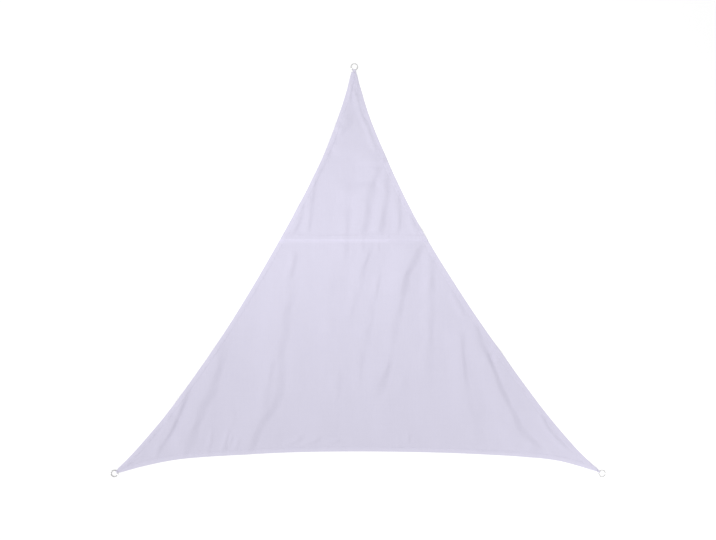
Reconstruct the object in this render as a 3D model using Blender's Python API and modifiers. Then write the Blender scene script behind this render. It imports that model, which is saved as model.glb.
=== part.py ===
"""A triangular shade sail, laid out on the ground with its top corner towards +Y.

Two panels of woven polyester meet in a lap seam and are hemmed all round. At each corner
a webbing loop, sewn under the tip of the cloth, holds a round steel ring.
Metres, +Z up. The origin is on the ground, under the middle of the sail.
"""

import math
from collections import namedtuple

import bmesh
import bpy
import numpy as np
from mathutils import Matrix, Vector
from mathutils.geometry import delaunay_2d_cdt

# Driving dimensions
BASE = 3.0  # bottom ring to bottom ring, centre to centre
HEIGHT = 2.5  # top ring above the line of the bottom rings
TOP_SHIFT = -0.024  # the top ring sits this far to the side of the middle

CLOTH = 0.0015  # thickness of one layer of the sail
HEM = 0.0026  # thickness of the folded hem
HEM_WIDTH = 0.028
HEM_STEP = 0.005  # width over which the hem's thickness falls to the cloth's
SEAM_LOW = 0.180  # lower edge of the upper panel, on top of the lap
SEAM_HIGH = 0.214  # upper edge of the lower panel, under the lap
SEAM_CALM = 0.060  # the folds die away over this distance on both sides of the lap
LAP_CLEAR = 0.004  # the lap stays level this far past the hidden edge
LAP_FALL = 0.036  # and then the upper panel comes down to the ground over this
GAP = 0.0003  # between pieces that touch

RING_RADIUS = 0.020  # to the middle of the wire
WIRE_RADIUS = 0.0025
WEBBING = 0.0015  # thickness
WEBBING_WIDTH = 0.020
WEBBING_END = 0.100  # ring centre to the sewn end of the webbing
TIP = 0.032  # ring centre to the tip of the cloth

# Sizes worked out from those above
LAP_RISE = CLOTH + GAP
PAD_RISE = 2 * WEBBING + 2 * GAP
LOOP_RADIUS = WIRE_RADIUS + GAP + WEBBING / 2  # middle of the webbing, round the wire
WIRE_HIGH = LOOP_RADIUS + WEBBING / 2  # middle of the wire, where the webbing passes under it
RING_TILT = math.asin((WIRE_HIGH - WIRE_RADIUS) / (2 * RING_RADIUS))
RING_HIGH = (WIRE_HIGH + WIRE_RADIUS) / 2

PAD_HALF = WEBBING_WIDTH / 2 + 0.006  # the cloth's flat top over the webbing
PAD_SLOPE = 0.024
PAD_END = WEBBING_END + 0.003
PAD_FADE = 0.045

# How finely the panels are divided
EDGE_SPACING = 0.045
TIP_SPACING = 0.015  # within the tip's zone round each ring
TIP_ZONE = 0.150
FOLD_SPACING = 0.042
FILL_SPACING = 0.072
SEAM_SPACING = 0.040
LEAST_SPACING = 0.013  # a fold's points keep this clear of any other
PAD_CLEAR = 0.0043
FILL_CLEAR = 0.045

SAIL_COLOR = (0.68, 0.665, 0.79)
WEBBING_COLOR = (0.66, 0.64, 0.76)
STEEL_COLOR = (0.60, 0.60, 0.62)

# Corners: the ring's centre, the direction from it into the cloth, the width of the
# cloth's tip and its shift to the side, and the webbing's gathered width in the ring
Corner = namedtuple("Corner", "name x y heading_deg tip_width tip_shift neck")
TOP = Corner("top", TOP_SHIFT, HEIGHT / 2, 270.0, 0.028, -0.003, 0.019)
LEFT = Corner("left", -BASE / 2, -HEIGHT / 2, 31.6, 0.026, 0.0, 0.018)
RIGHT = Corner("right", BASE / 2, -HEIGHT / 2, 148.4, 0.014, -0.002, 0.012)
CORNERS = (TOP, LEFT, RIGHT)

# Hollow of each edge: share of the way from ring to ring, depth behind the straight line
LEFT_HOLLOW = (
    (0.050, 0.033), (0.105, 0.070), (0.170, 0.105), (0.240, 0.127), (0.350, 0.143),
    (0.500, 0.150), (0.640, 0.141), (0.760, 0.115), (0.840, 0.090), (0.920, 0.050),
    (0.963, 0.023),
)
BOTTOM_HOLLOW = (
    (0.032, 0.022), (0.057, 0.042), (0.106, 0.074), (0.155, 0.094), (0.250, 0.113),
    (0.370, 0.130), (0.500, 0.135), (0.620, 0.131), (0.720, 0.122), (0.840, 0.102),
    (0.910, 0.078), (0.968, 0.032),
)
RIGHT_HOLLOW = (
    (0.037, 0.030), (0.080, 0.060), (0.160, 0.098), (0.240, 0.122), (0.320, 0.140),
    (0.430, 0.160), (0.550, 0.169), (0.640, 0.166), (0.720, 0.150), (0.800, 0.123),
    (0.890, 0.082), (0.950, 0.038),
)

# Folds: the crest's height, how far the cloth takes to fall on its left and on its
# right, the length over which each end fades, and the crest's route from top to bottom
Fold = namedtuple("Fold", "height to_left to_right fade route")
FOLDS = (
    Fold(0.011, 0.110, 0.046, 0.16, (
        (-0.415, 0.130), (-0.435, -0.145), (-0.485, -0.440), (-0.530, -0.580),
        (-0.505, -0.750), (-0.555, -0.865), (-0.620, -0.955), (-0.695, -1.095),
    )),
    Fold(0.010, 0.080, 0.044, 0.14, (
        (-0.850, -0.430), (-0.880, -0.575), (-0.935, -0.735), (-0.990, -0.865),
        (-1.030, -0.970), (-1.080, -1.110),
    )),
    Fold(0.009, 0.060, 0.034, 0.10, (
        (-1.065, -0.740), (-1.105, -0.840), (-1.155, -0.970), (-1.210, -1.105),
    )),
    Fold(0.013, 0.120, 0.050, 0.15, (
        (0.390, 0.180), (0.310, 0.045), (0.262, -0.060), (0.245, -0.170),
        (0.220, -0.335), (0.165, -0.585), (0.100, -0.760),
    )),
    Fold(0.009, 0.090, 0.044, 0.14, (
        (0.428, 0.100), (0.432, -0.270), (0.428, -0.640),
    )),
    Fold(0.010, 0.070, 0.038, 0.10, (
        (0.618, -0.390), (0.627, -0.515), (0.652, -0.645), (0.668, -0.730),
    )),
    Fold(0.013, 0.080, 0.042, 0.14, (
        (0.705, -0.345), (0.768, -0.520), (0.826, -0.650), (0.888, -0.780),
        (0.943, -0.910), (1.004, -1.005), (1.090, -1.100),
    )),
    Fold(0.008, 0.045, 0.028, 0.07, (
        (1.120, -0.880), (1.185, -1.005), (1.230, -1.090),
    )),
    Fold(0.008, 0.090, 0.042, 0.14, (
        (0.075, 0.110), (0.062, -0.060), (0.060, -0.260), (0.040, -0.410),
        (0.008, -0.565), (0.005, -0.790),
    )),
    Fold(0.010, 0.050, 0.038, 0.12, (
        (0.165, 0.640), (0.152, 0.505), (0.136, 0.410), (0.126, 0.310), (0.110, 0.215),
    )),
    Fold(0.009, 0.065, 0.036, 0.12, (
        (0.092, 0.640), (0.050, 0.505), (0.035, 0.410), (0.024, 0.310), (0.015, 0.215),
    )),
    Fold(0.008, 0.050, 0.034, 0.10, (
        (-0.290, 0.580), (-0.302, 0.435), (-0.318, 0.250),
    )),
)

sail = bpy.data.collections.new("shade_sail")


def clear_scene():
    for obj in list(bpy.data.objects):
        bpy.data.objects.remove(obj, do_unlink=True)
    bpy.context.scene.collection.children.link(sail)


def make_material(name, color, roughness, metallic=0.0):
    material = bpy.data.materials.new(name)
    material.use_nodes = True
    shader = material.node_tree.nodes["Principled BSDF"]
    shader.inputs["Base Color"].default_value = (*color, 1.0)
    shader.inputs["Roughness"].default_value = roughness
    shader.inputs["Metallic"].default_value = metallic
    material.diffuse_color = (*color, 1.0)
    return material


def add_object(name, bm, material):
    """Puts a finished bmesh into the sail's collection as an object."""
    mesh = bpy.data.meshes.new(name)
    bm.to_mesh(mesh)
    bm.free()
    mesh.materials.append(material)
    mesh.shade_smooth()
    obj = bpy.data.objects.new(name, mesh)
    sail.objects.link(obj)
    return obj


# ---- plan shapes -----------------------------------------------------------------------


def ease(x):
    """0 below 0, 1 above 1, and a soft step between."""
    x = np.clip(x, 0.0, 1.0)
    return x * x * (3.0 - 2.0 * x)


def spaced(path, spacing):
    """The path again, with even steps of about this length."""
    run = np.concatenate([[0], np.cumsum(np.linalg.norm(np.diff(path, axis=0), axis=1))])
    at = np.linspace(0, run[-1], max(2, round(run[-1] / spacing) + 1))
    return np.stack([np.interp(at, run, path[:, k]) for k in range(2)], axis=1)


def smooth(points, spacing):
    """Evenly spaced points on a soft curve through the given ones."""
    p = np.array(points, float)
    p = np.vstack([2 * p[0] - p[1], p, 2 * p[-1] - p[-2]])
    t = np.linspace(0, 1, 12, endpoint=False)[:, None]
    parts = [
        b + (c - a) * t / 2 + (2 * a - 5 * b + 4 * c - d) * t**2 / 2
        + (3 * b - a - 3 * c + d) * t**3 / 2
        for a, b, c, d in zip(p[:-3], p[1:-2], p[2:-1], p[3:])
    ]
    return spaced(np.vstack([*parts, p[-2:-1]]), spacing)


def measure(path, points):
    """For each point, how far along the path it lies and how far to the path's left."""
    start, step = path[:-1], np.diff(path, axis=0)
    length = np.linalg.norm(step, axis=1)
    offset = points[:, None] - start
    share = np.clip((offset * step).sum(2) / length**2, 0.0, 1.0)
    offset = offset - share[..., None] * step
    nearest = np.linalg.norm(offset, axis=2).argmin(axis=1)
    rows = np.arange(len(points))
    along = np.concatenate([[0], np.cumsum(length)])[nearest] + share[rows, nearest] * length[nearest]
    off, way = offset[rows, nearest], step[nearest]
    side = np.sign(way[:, 0] * off[:, 1] - way[:, 1] * off[:, 0])
    return along, side * np.linalg.norm(off, axis=1)


def thinned(path):
    """Points of a fine path, closest together near the rings."""
    rings = [np.array([corner.x, corner.y]) for corner in CORNERS]
    kept = [path[0]]
    for p in path[1:-1]:
        in_tip = min(np.linalg.norm(p - ring) for ring in rings) < TIP_ZONE
        step = TIP_SPACING if in_tip else EDGE_SPACING
        if min(np.linalg.norm(p - kept[-1]), 2 * np.linalg.norm(p - path[-1])) >= step:
            kept.append(p)
    return np.array([*kept, path[-1]])


def beside(path, distance):
    """The path moved to its left by a distance."""
    way = np.gradient(path, axis=0)
    way /= np.linalg.norm(way, axis=1)[:, None]
    return path + distance * np.stack([-way[:, 1], way[:, 0]], axis=1)


def cut(path, height, above):
    """The part of a path that lies above or below a height, ending on it."""
    side = path[:, 1] > height if above else path[:, 1] < height
    change = np.flatnonzero(side[1:] != side[:-1])[0]
    a, b = path[change], path[change + 1]
    crossing = a + (b - a) * (height - a[1]) / (b[1] - a[1])
    kept = path[side]
    return np.vstack([crossing, kept]) if side[-1] else np.vstack([kept, crossing])


def corner_frame(corner):
    """The ring's centre, the direction into the cloth and the direction to its left."""
    turn = math.radians(corner.heading_deg)
    into = np.array([math.cos(turn), math.sin(turn)])
    return np.array([corner.x, corner.y]), into, np.array([-into[1], into[0]])


def tip_point(corner, side):
    """An end of the cloth's tip: side is 1 on the left of the way in, -1 on its right."""
    ring, into, left = corner_frame(corner)
    return ring + TIP * into + (corner.tip_shift + side * corner.tip_width / 2) * left


def edge(first, last, hollow):
    """One edge of the sail, with the cloth on its left."""
    start = np.array([first.x, first.y])
    way = np.array([last.x, last.y]) - start
    inward = np.array([-way[1], way[0]]) / np.linalg.norm(way)
    middle = [start + share * way + depth * inward for share, depth in hollow]
    return smooth([tip_point(first, -1), *middle, tip_point(last, 1)], 0.005)


LEFT_EDGE = edge(TOP, LEFT, LEFT_HOLLOW)
BOTTOM_EDGE = edge(LEFT, RIGHT, BOTTOM_HOLLOW)
RIGHT_EDGE = edge(RIGHT, TOP, RIGHT_HOLLOW)
EDGES = (LEFT_EDGE, BOTTOM_EDGE, RIGHT_EDGE)
CRESTS = [smooth(fold.route, FOLD_SPACING) for fold in FOLDS]


# ---- heights ---------------------------------------------------------------------------


def fold_height(fold, crest, points):
    """A fold falls softly to both sides of its crest and fades towards its ends."""
    along, off = measure(crest, points)
    length = np.linalg.norm(np.diff(crest, axis=0), axis=1).sum()
    fade = ease(along / fold.fade) * ease((length - along) / fold.fade)
    # A route runs downwards, so the left of its path is the right side of the sail.
    width = np.where(off > 0, fold.to_right, fold.to_left)
    slope = np.clip(np.abs(off) / width, 0.0, 1.0)
    return fold.height * fade * np.cos(slope * math.pi / 2) ** 2


def pad_height(corner, points):
    """The rise of the cloth over the webbing sewn under its tip."""
    ring, into, left = corner_frame(corner)
    along, off = (points - ring) @ into, np.abs((points - ring) @ left)
    past_side = ease((off - PAD_HALF) / PAD_SLOPE)
    past_end = ease((along - PAD_END) / PAD_FADE)
    return PAD_RISE * (1 - past_side) * (1 - past_end)


def underside(points):
    """The height of the cloth's underside above the ground."""
    seam_middle, seam_half = (SEAM_LOW + SEAM_HIGH) / 2, (SEAM_HIGH - SEAM_LOW) / 2
    from_seam = np.abs(points[:, 1] - seam_middle) - seam_half - LAP_CLEAR
    folds = sum(fold_height(f, c, points) for f, c in zip(FOLDS, CRESTS))
    pads = [pad_height(corner, points) for corner in CORNERS]
    return np.max([folds * ease(from_seam / SEAM_CALM), *pads], axis=0)


# ---- panels ----------------------------------------------------------------------------


def edge_distance(points):
    """How far each point is from the nearest edge of the sail."""
    return np.min([np.abs(measure(line, points)[1]) for line in EDGES], axis=0)


def fold_lines():
    """Rows of points along each fold: its feet, the middles of its slopes and its crest."""
    for fold, crest in zip(FOLDS, CRESTS):
        for off in (0, fold.to_right / 2, fold.to_right, -fold.to_left / 2, -fold.to_left):
            yield beside(crest, off)


def pad_lines():
    """Rows of points along the webbing under each tip."""
    for corner in CORNERS:
        ring, into, left = corner_frame(corner)
        along = np.arange(TIP, PAD_END + PAD_FADE, TIP_SPACING)[:, None]
        for off in (0, PAD_HALF, -PAD_HALF, PAD_HALF + PAD_SLOPE, -PAD_HALF - PAD_SLOPE):
            yield ring + along * into + off * left


def fill_points():
    """An even field of points over the whole sail, every other row shifted by half a step."""
    row_step = FILL_SPACING * math.sqrt(0.75)
    for row, y in enumerate(np.arange(-HEIGHT / 2, HEIGHT / 2, row_step)):
        x = np.arange(-BASE / 2, BASE / 2, FILL_SPACING) + (row % 2) * FILL_SPACING / 2
        yield np.stack([x, np.full_like(x, y)], axis=1)


def hem_lines():
    """The two sides of the step from hem to cloth, where they are clear of the other edges."""
    for inset in (HEM_WIDTH, HEM_WIDTH + HEM_STEP):
        for line in EDGES:
            inner = thinned(beside(line, inset))
            yield inner[edge_distance(inner) > inset - HEM_STEP / 3]


def net(outline, cross_lines, keep):
    """A flat net of triangles inside a closed outline, finest along the folds."""
    loop = np.vstack([outline, outline[:1]])
    points = [Vector(p) for p in outline]
    edges = [(i, (i + 1) % len(points)) for i in range(len(points))]

    def add(lines, clear):
        """Places points that keep clear of the outline and of those placed before."""
        for line in lines:
            for p in line[keep(line) & (np.abs(measure(loop, line)[1]) > clear)]:
                point = Vector(p)
                if min((point - other).length for other in points) > clear:
                    points.append(point)

    add(hem_lines(), HEM_STEP * 0.9)
    add(cross_lines, LEAST_SPACING / 2)
    add(pad_lines(), PAD_CLEAR)
    add(fold_lines(), LEAST_SPACING)
    add(fill_points(), FILL_CLEAR)
    inside_only, tolerance = 1, 1e-6
    flat, _, faces, *_ = delaunay_2d_cdt(
        points, edges, [list(range(len(outline)))], inside_only, tolerance
    )
    return np.array([tuple(v) for v in flat]), faces


def add_panel(name, outline, cross_lines, keep, rise, is_hemmed, material):
    """One panel: its net, lifted to its folds and thickened upwards, more so at the hem."""
    flat, faces = net(outline, cross_lines, keep)
    height = np.maximum(underside(flat), rise(flat[:, 1]))
    bm = bmesh.new()
    corners = [bm.verts.new((x, y, z)) for (x, y), z in zip(flat, height)]
    for face in faces:
        bm.faces.new([corners[i] for i in face])
    bmesh.ops.recalc_face_normals(bm, faces=bm.faces)
    if sum(face.normal.z for face in bm.faces) < 0:
        bmesh.ops.reverse_faces(bm, faces=bm.faces)
    obj = add_object(name, bm, material)

    hem = obj.vertex_groups.new(name="hem")
    folded = (edge_distance(flat) < HEM_WIDTH + HEM_STEP / 2) & is_hemmed(flat[:, 1])
    hem.add([int(i) for i in np.flatnonzero(folded)], 1.0, "REPLACE")
    thicken = obj.modifiers.new("thickness", "SOLIDIFY")
    thicken.thickness = HEM
    thicken.offset = 1.0
    thicken.vertex_group = "hem"
    thicken.thickness_vertex_group = CLOTH / HEM
    return obj


def row(y):
    """A line of points straight across the sail at a height."""
    ends = np.array([cut(LEFT_EDGE, y, True)[-1], cut(RIGHT_EDGE, y, True)[0]])
    return spaced(ends, SEAM_SPACING)


def add_upper_panel(material):
    lap_end = SEAM_HIGH + LAP_CLEAR
    lap_foot = lap_end + LAP_FALL
    outline = np.vstack([
        thinned(cut(LEFT_EDGE, SEAM_LOW, True))[:-1],
        row(SEAM_LOW)[:-1],
        thinned(cut(RIGHT_EDGE, SEAM_LOW, True)),
    ])
    return add_panel(
        "upper_panel",
        outline,
        cross_lines=[row(lap_end), row(lap_foot)],
        keep=lambda p: p[:, 1] > lap_end - LAP_CLEAR / 2,
        rise=lambda y: LAP_RISE * (1 - ease((y - lap_end) / LAP_FALL)),
        is_hemmed=lambda y: y > SEAM_LOW - LAP_CLEAR,
        material=material,
    )


def add_lower_panel(material):
    """The hem's second layer stops short of the lap, so that the lap lies level."""
    lap_end = SEAM_LOW - LAP_CLEAR / 2
    hem_start = lap_end - 2 * HEM_STEP
    lap = row(lap_end)
    outline = np.vstack([
        row(SEAM_HIGH)[:1],
        lap[:1],
        thinned(cut(LEFT_EDGE, hem_start, False)),
        thinned(BOTTOM_EDGE),
        thinned(cut(RIGHT_EDGE, hem_start, False)),
        lap[-1:],
        row(SEAM_HIGH)[:0:-1],
    ])
    return add_panel(
        "lower_panel",
        outline,
        cross_lines=[lap],
        keep=lambda p: p[:, 1] < lap_end + LAP_CLEAR / 4,
        rise=lambda y: 0 * y,
        is_hemmed=lambda y: y < lap_end - HEM_STEP,
        material=material,
    )


# ---- corners ---------------------------------------------------------------------------


def webbing_route(lateral):
    """Along and up, from one sewn end under the ring's wire and back over it."""
    wire = math.sqrt(RING_RADIUS**2 - lateral**2) * math.cos(RING_TILT)
    reach = WIRE_RADIUS * RING_RADIUS / wire + GAP + WEBBING / 2
    low = WEBBING / 2
    high = low + WEBBING + GAP
    drop = 0.010  # length over which the upper leg comes down onto the lower one
    for share in np.linspace(0, 1, 7):
        yield WEBBING_END + (wire - WEBBING_END) * share, low
    for turn in np.linspace(0, math.pi, 11)[1:]:
        yield wire - reach * math.sin(turn), WIRE_HIGH - LOOP_RADIUS * math.cos(turn)
    for share in np.linspace(0, 1, 7)[1:]:
        fall = (1 + math.cos(math.pi * share)) / 2
        yield wire + drop * share, high + (WIRE_HIGH + LOOP_RADIUS - high) * fall
    for share in np.linspace(0, 1, 6)[1:]:
        yield wire + drop + (WEBBING_END - wire - drop) * share, high


def add_webbing(corner, material):
    """A strip folded round the ring and gathered to its neck there."""
    ring, into, left = corner_frame(corner)
    steps = len(list(webbing_route(0.0)))
    across = 5
    bm = bmesh.new()
    bmesh.ops.create_grid(bm, x_segments=steps - 1, y_segments=across - 1, size=0.5)
    for vert in bm.verts:
        station = round((vert.co.x + 0.5) * (steps - 1))
        side = 2 * vert.co.y
        lateral = side * corner.neck / 2
        along, up = list(webbing_route(lateral))[station]
        spread = ease((along - TIP) / (WEBBING_END - TIP))
        lateral += side * (WEBBING_WIDTH - corner.neck) / 2 * spread
        vert.co = Vector((*(ring + along * into + lateral * left), up))
    bmesh.ops.recalc_face_normals(bm, faces=bm.faces)
    obj = add_object(f"webbing_{corner.name}", bm, material)
    thicken = obj.modifiers.new("thickness", "SOLIDIFY")
    thicken.thickness = WEBBING
    thicken.offset = 0.0
    return obj


def add_ring(corner, material):
    """A welded wire ring that leans on the webbing and touches the ground opposite it."""
    ring, _, left = corner_frame(corner)
    bpy.ops.mesh.primitive_torus_add(
        major_segments=36,
        minor_segments=10,
        major_radius=RING_RADIUS,
        minor_radius=WIRE_RADIUS,
    )
    obj = bpy.context.object
    obj.name = obj.data.name = f"ring_{corner.name}"
    obj.data.materials.append(material)
    obj.data.shade_smooth()
    for collection in obj.users_collection:
        collection.objects.unlink(obj)
    sail.objects.link(obj)
    lean = Matrix.Rotation(-RING_TILT, 4, Vector((*left, 0.0)))
    obj.matrix_world = Matrix.Translation((*ring, RING_HIGH)) @ lean
    return obj


def main():
    clear_scene()
    cloth = make_material("sail_cloth", SAIL_COLOR, 0.85)
    strap = make_material("webbing", WEBBING_COLOR, 0.80)
    steel = make_material("steel", STEEL_COLOR, 0.22, 1.0)
    add_upper_panel(cloth)
    add_lower_panel(cloth)
    for corner in CORNERS:
        add_webbing(corner, strap)
        add_ring(corner, steel)


main()
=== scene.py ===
import math
from collections import namedtuple

import bmesh
import bpy
import numpy as np
from mathutils import Matrix, Vector, noise
from mathutils.geometry import delaunay_2d_cdt


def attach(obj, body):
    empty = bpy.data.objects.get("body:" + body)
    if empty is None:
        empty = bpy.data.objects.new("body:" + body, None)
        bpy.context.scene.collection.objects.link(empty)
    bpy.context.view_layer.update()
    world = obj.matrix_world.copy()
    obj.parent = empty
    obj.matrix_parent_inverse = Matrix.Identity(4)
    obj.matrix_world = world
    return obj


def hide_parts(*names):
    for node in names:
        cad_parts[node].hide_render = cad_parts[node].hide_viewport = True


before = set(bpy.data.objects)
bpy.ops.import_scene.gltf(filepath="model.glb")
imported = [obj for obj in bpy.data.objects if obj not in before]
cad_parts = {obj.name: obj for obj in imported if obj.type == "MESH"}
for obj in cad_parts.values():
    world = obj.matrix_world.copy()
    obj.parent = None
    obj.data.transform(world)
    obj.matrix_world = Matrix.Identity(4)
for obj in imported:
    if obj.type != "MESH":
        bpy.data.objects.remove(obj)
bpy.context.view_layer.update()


# ---- Lower panel -------------------------------------------------------------------------
# The lower two thirds of the sail, cut from plain-woven polyester with hollow edges that
# draw tight when the sail is hung. The edges are turned over twice and sewn down as a hem.
# It lies on the ground with the creases that packing and hanging have left in it.

BASE = 3.0  # bottom ring to bottom ring, centre to centre
HEIGHT = 2.5  # top ring above the line of the bottom rings
TOP_SHIFT = -0.024  # the top ring sits this far to the side of the middle
TIP = 0.032  # ring centre to the tip of the cloth

# Corners: the ring's centre, the way into the cloth, the width of the cloth's tip and how far
# to the left of that way it lies, and the width of the webbing in the ring
Corner = namedtuple("Corner", "name x y heading_deg tip_width tip_shift neck")
TOP = Corner("top", TOP_SHIFT, HEIGHT / 2, 270.0, 0.028, -0.003, 0.019)
LEFT = Corner("left", -BASE / 2, -HEIGHT / 2, 31.6, 0.026, 0.0, 0.018)
RIGHT = Corner("right", BASE / 2, -HEIGHT / 2, 148.4, 0.014, -0.002, 0.012)
CORNERS = (TOP, LEFT, RIGHT)

# Hollow of each edge: share of the way from ring to ring, depth behind the straight line
LEFT_HOLLOW = (
    (0.050, 0.033), (0.105, 0.070), (0.170, 0.105), (0.240, 0.127), (0.350, 0.143),
    (0.500, 0.150), (0.640, 0.141), (0.760, 0.115), (0.840, 0.090), (0.920, 0.050),
    (0.963, 0.023),
)
BOTTOM_HOLLOW = (
    (0.032, 0.022), (0.057, 0.042), (0.106, 0.074), (0.155, 0.094), (0.250, 0.113),
    (0.370, 0.130), (0.500, 0.135), (0.620, 0.131), (0.720, 0.122), (0.840, 0.102),
    (0.910, 0.078), (0.968, 0.032),
)
RIGHT_HOLLOW = (
    (0.037, 0.030), (0.080, 0.060), (0.160, 0.098), (0.240, 0.122), (0.320, 0.140),
    (0.430, 0.160), (0.550, 0.169), (0.640, 0.166), (0.720, 0.150), (0.800, 0.123),
    (0.890, 0.082), (0.950, 0.038),
)

CLOTH = 0.0006  # thickness of the cloth
HEM = 0.0020  # three layers of it, pressed
HEM_WIDTH = 0.028
HEM_STEP = 0.0016  # width over which the hem falls to the cloth
FOLD_ROUND = 0.0030  # the outer fold's top rounds off over this
FOLD_SHARE = 0.2  # of the hem's extra thickness, what is there right at the fold
ROWS = (0.0185, 0.0245)  # twin rows of stitches, from the edge
GROOVE = 0.0006  # how far the thread draws the cloth down
GROOVE_HALF = 0.0016
MITRE_HALF = 0.0014  # half the width of the valley where two hems meet in a tip
PAST_HEM = HEM_WIDTH + 0.004  # the rows of points that follow the hem end here
STRAY = 0.0002  # how far out of place a point of a row may be
NEAR_RING = 0.30  # the edges curve most, and the hems meet, closer to a ring than this

SEAM_LOW = 0.180  # lower edge of the upper panel, on top of the lap
SEAM_HIGH = 0.214  # upper edge of the lower panel, under the lap
SEAM_CALM = 0.045  # the stiff lap flattens the creases over this distance on both sides
SEAM_SHARE = 0.45  # of their height, what is left of them in the lap

WEBBING = 0.0015  # thickness of the corner loops, which lie under the tips
WEBBING_WIDTH = 0.020
WEBBING_END = 0.100  # ring centre to the sewn end of the webbing
GAP = 0.0003
PAD_RISE = 2 * WEBBING + 2 * GAP  # the cloth's rise over the folded webbing
PAD_MARGIN = 0.003
PAD_HALF = WEBBING_WIDTH / 2 + PAD_MARGIN
PAD_SLOPE = 0.016
PAD_END = WEBBING_END + PAD_MARGIN
PAD_FADE = 0.040

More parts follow.
